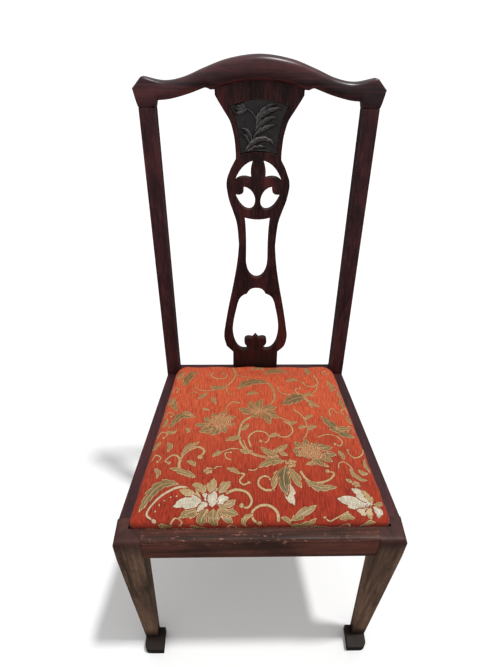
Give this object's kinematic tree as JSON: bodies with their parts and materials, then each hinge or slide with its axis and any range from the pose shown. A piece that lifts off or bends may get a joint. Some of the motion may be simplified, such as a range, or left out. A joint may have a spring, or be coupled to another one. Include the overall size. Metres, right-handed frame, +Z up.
{
  "type": "dining chair",
  "caption": "Dining chair with serpentine crest rail, pierced vase splat, tapered block-foot front legs and a lift-out padded seat.",
  "frame": {"origin": "on the floor under the middle of the chair's overall box", "axes": "+Z up, -Y towards the front of the chair, +X to the right seen from the front"},
  "size_m": [0.48, 0.5196, 1.0603],
  "materials": {
    "mahogany": "dark red-brown French polish, worn on the edges",
    "secondary_wood": "bare planed beech",
    "screw_steel": "dull",
    "jute_webbing": "plain woven",
    "seat_fabric": "orange-red figured weave with gold and cream flowers"
  },
  "bodies": {
    "chair_frame": {"corner_block_front_left": "secondary_wood", "block_screw_front_left_1": "screw_steel", "block_screw_front_left_2": "screw_steel", "corner_block_rear_left": "secondary_wood", "block_screw_rear_left_1": "screw_steel", "block_screw_rear_left_2": "screw_steel", "side_rail_left": "mahogany", "front_leg_left": "mahogany", "back_post_left": "mahogany", "corner_block_front_right": "secondary_wood", "block_screw_front_right_1": "screw_steel", "block_screw_front_right_2": "screw_steel", "corner_block_rear_right": "secondary_wood", "block_screw_rear_right_1": "screw_steel", "block_screw_rear_right_2": "screw_steel", "side_rail_right": "mahogany", "front_leg_right": "mahogany", "back_post_right": "mahogany", "front_rail": "mahogany", "rear_rail": "mahogany", "crest_rail": "mahogany", "back_splat": "mahogany"},
    "drop_in_seat": {"seat_frame_front": "secondary_wood", "seat_frame_rear": "secondary_wood", "seat_frame_left": "secondary_wood", "seat_frame_right": "secondary_wood", "webbing_long_1": "jute_webbing", "webbing_long_2": "jute_webbing", "webbing_long_3": "jute_webbing", "webbing_cross_1": "jute_webbing", "webbing_cross_2": "jute_webbing", "webbing_cross_3": "jute_webbing", "seat_pad": "seat_fabric"}
  },
  "joints": [
    {"name": "seat_lift", "type": "slide", "parent": "chair_frame", "child": "drop_in_seat", "axis": [0, 0, 1], "range_m": [0, 0.08]}
  ]
}
